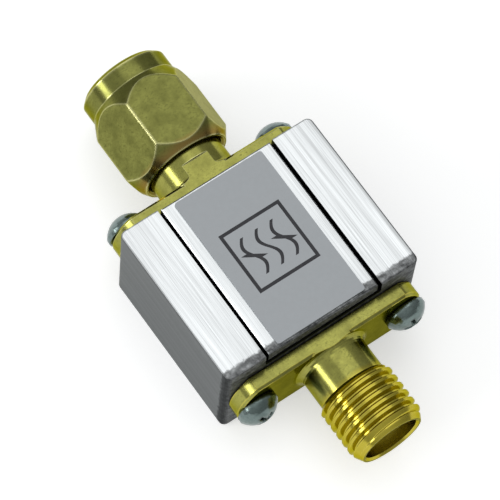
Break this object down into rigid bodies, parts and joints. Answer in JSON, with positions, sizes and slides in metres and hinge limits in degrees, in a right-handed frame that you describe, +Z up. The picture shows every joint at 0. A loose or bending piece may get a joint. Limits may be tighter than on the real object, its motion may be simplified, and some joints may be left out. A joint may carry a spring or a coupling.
{
  "type": "coaxial band-pass filter",
  "caption": "In-line coaxial filter: a milled rectangular housing with a flush lid, a threaded plug with a hexagonal coupling nut at one end and a threaded jack at the other.",
  "frame": {"origin": "centre of the housing's flat underside", "axes": "+X along the connector axis from the plug to the jack, +Z up through the lid, +Y to the left when looking along +X"},
  "size_m": [0.0356, 0.0174, 0.0098],
  "materials": {
    "milled_aluminium": "fine milled, satin",
    "brushed_cover": "brushed along the connector axis",
    "label_foil": "matt grey foil, unprinted",
    "gilt_brass": "turned, thin gold plating, polished",
    "nut_brass": "turned and milled, thin gold plating",
    "contact_gold": "gold plated",
    "ring_bronze": "spring bronze, plain",
    "gasket_rubber": "red silicone rubber",
    "white_insulator": "turned white fluoropolymer",
    "zinc_screw": "blue-grey zinc plating",
    "board_laminate": "solder mask on laminate",
    "chip_ceramic": "glazed ceramic",
    "capacitor_body": "ceramic between tinned ends",
    "inductor_body": "ceramic between tinned ends"
  },
  "bodies": {
    "filter": {"housing": "milled_aluminium", "lid": "brushed_cover", "label": "label_foil", "plug_body": "gilt_brass", "snap_ring": "ring_bronze", "gasket": "gasket_rubber", "plug_insulator": "white_insulator", "plug_pin": "contact_gold", "jack_body": "gilt_brass", "jack_insulator": "white_insulator", "jack_contact": "contact_gold", "plug_screw_left": "zinc_screw", "plug_screw_right": "zinc_screw", "jack_screw_left": "zinc_screw", "jack_screw_right": "zinc_screw", "circuit_board": "board_laminate", "filter_chip": "chip_ceramic", "capacitor_in": "capacitor_body", "capacitor_out": "capacitor_body", "inductor_in": "inductor_body", "inductor_out": "inductor_body"},
    "nut": {"coupling_nut": "nut_brass"}
  },
  "joints": [
    {"name": "nut_spin", "type": "hinge", "parent": "filter", "child": "nut", "pos_m": [-0.0149, 0, 0.0048], "axis": [1, 0, 0], "continuous": true}
  ]
}
